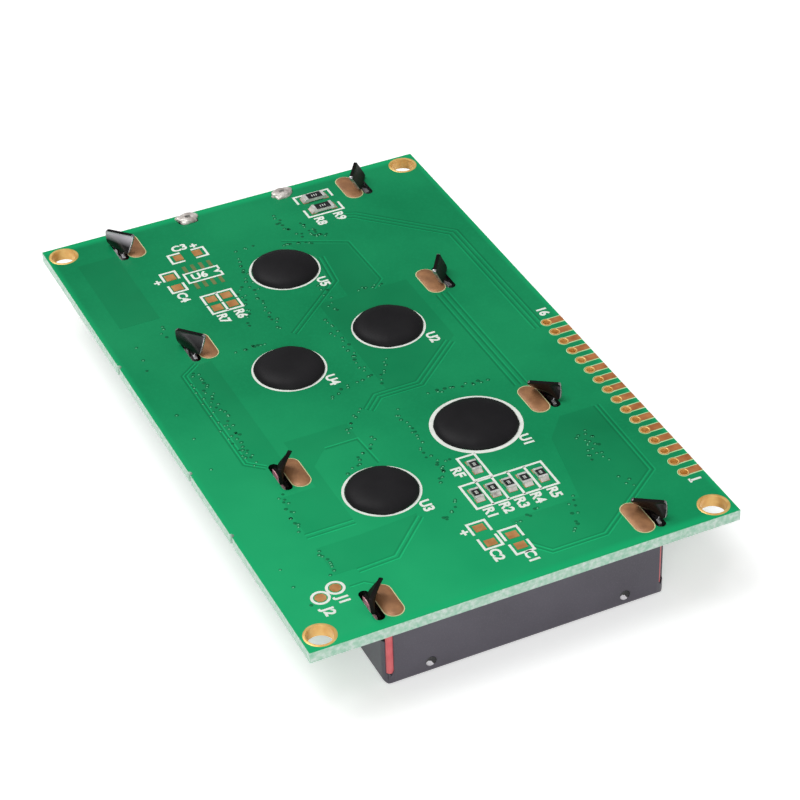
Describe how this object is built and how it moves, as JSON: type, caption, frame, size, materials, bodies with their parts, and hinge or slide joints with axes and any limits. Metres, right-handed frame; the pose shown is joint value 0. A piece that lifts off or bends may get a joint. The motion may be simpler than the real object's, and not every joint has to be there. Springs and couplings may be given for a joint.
{
  "type": "character display module",
  "caption": "Flat character display module: green circuit board on a folded black bezel with a glass window, twisted tabs, black epoxy domes and a row of plated holes.",
  "frame": {"origin": "centre of the bezel's face, on which the module lies face down", "axes": "+Z out of the circuit board's back face, +X along the long side towards the end of the header row that holds pin 1, +Y towards the header row"},
  "size_m": [0.098, 0.06, 0.0132],
  "materials": {
    "board_laminate": "green lacquer over glass-fibre laminate",
    "bezel_paint": "satin black paint on steel sheet",
    "plated_copper": "bright plated copper",
    "solder": "reflowed solder",
    "tinned_strip": "tinned strip",
    "epoxy": "black cast epoxy, low gloss",
    "silicon": "bare chip",
    "resistor_body": "black glaze on white ceramic with tinned ends",
    "display_glass": "clear display glass",
    "polarizer_film": "grey polarizing film",
    "cell_seal": "seal round the cell",
    "liquid_crystal": "yellow-green liquid crystal layer",
    "elastomer": "rose-red silicone connector strip",
    "white_moulding": "white moulded plastic",
    "clear_acrylic": "clear moulded acrylic",
    "white_film": "white diffusing film",
    "led_laminate": "white lacquered laminate strip",
    "led_package": "white package with a yellow lens",
    "print_white": "white printed marks"
  },
  "bodies": {
    "root": {"backlight_frame": "white_moulding", "backlight_led_1": "led_package", "backlight_led_2": "led_package", "backlight_led_3": "led_package", "backlight_led_4": "led_package", "backlight_resistor_1": "resistor_body", "backlight_resistor_2": "resistor_body", "backlight_solder_1": "solder", "backlight_solder_2": "solder", "backlight_terminal_1": "tinned_strip", "backlight_terminal_2": "tinned_strip", "bezel": "bezel_paint", "capacitor_pads": "plated_copper", "circuit_board": "board_laminate", "contact_strip_header_side": "elastomer", "contact_strip_plain_side": "elastomer", "controller_blob": "epoxy", "controller_die": "silicon", "diffuser_sheet": "white_film", "display_contacts": "plated_copper", "driver_1_blob": "epoxy", "driver_1_die": "silicon", "driver_2_blob": "epoxy", "driver_2_die": "silicon", "driver_3_blob": "epoxy", "driver_3_die": "silicon", "driver_4_blob": "epoxy", "driver_4_die": "silicon", "feedback_resistor": "resistor_body", "front_glass": "display_glass", "front_polarizer": "polarizer_film", "glass_seal": "cell_seal", "ground_pads": "plated_copper", "header_pads": "plated_copper", "jumper_pads": "plated_copper", "led_board": "led_laminate", "light_guide": "clear_acrylic", "liquid_crystal": "liquid_crystal", "low_capacitor_pads": "plated_copper", "mounting_hole_rings": "plated_copper", "rear_glass": "display_glass", "rear_polarizer": "polarizer_film", "reflector_sheet": "white_film", "resistor_1": "resistor_body", "resistor_2": "resistor_body", "resistor_3": "resistor_body", "resistor_4": "resistor_body", "resistor_5": "resistor_body", "resistor_pads": "plated_copper", "resistor_solder": "solder", "spare_chip_pads": "plated_copper", "spare_resistor_pads": "plated_copper", "upright_capacitor_pads": "plated_copper"}
  },
  "joints": []
}
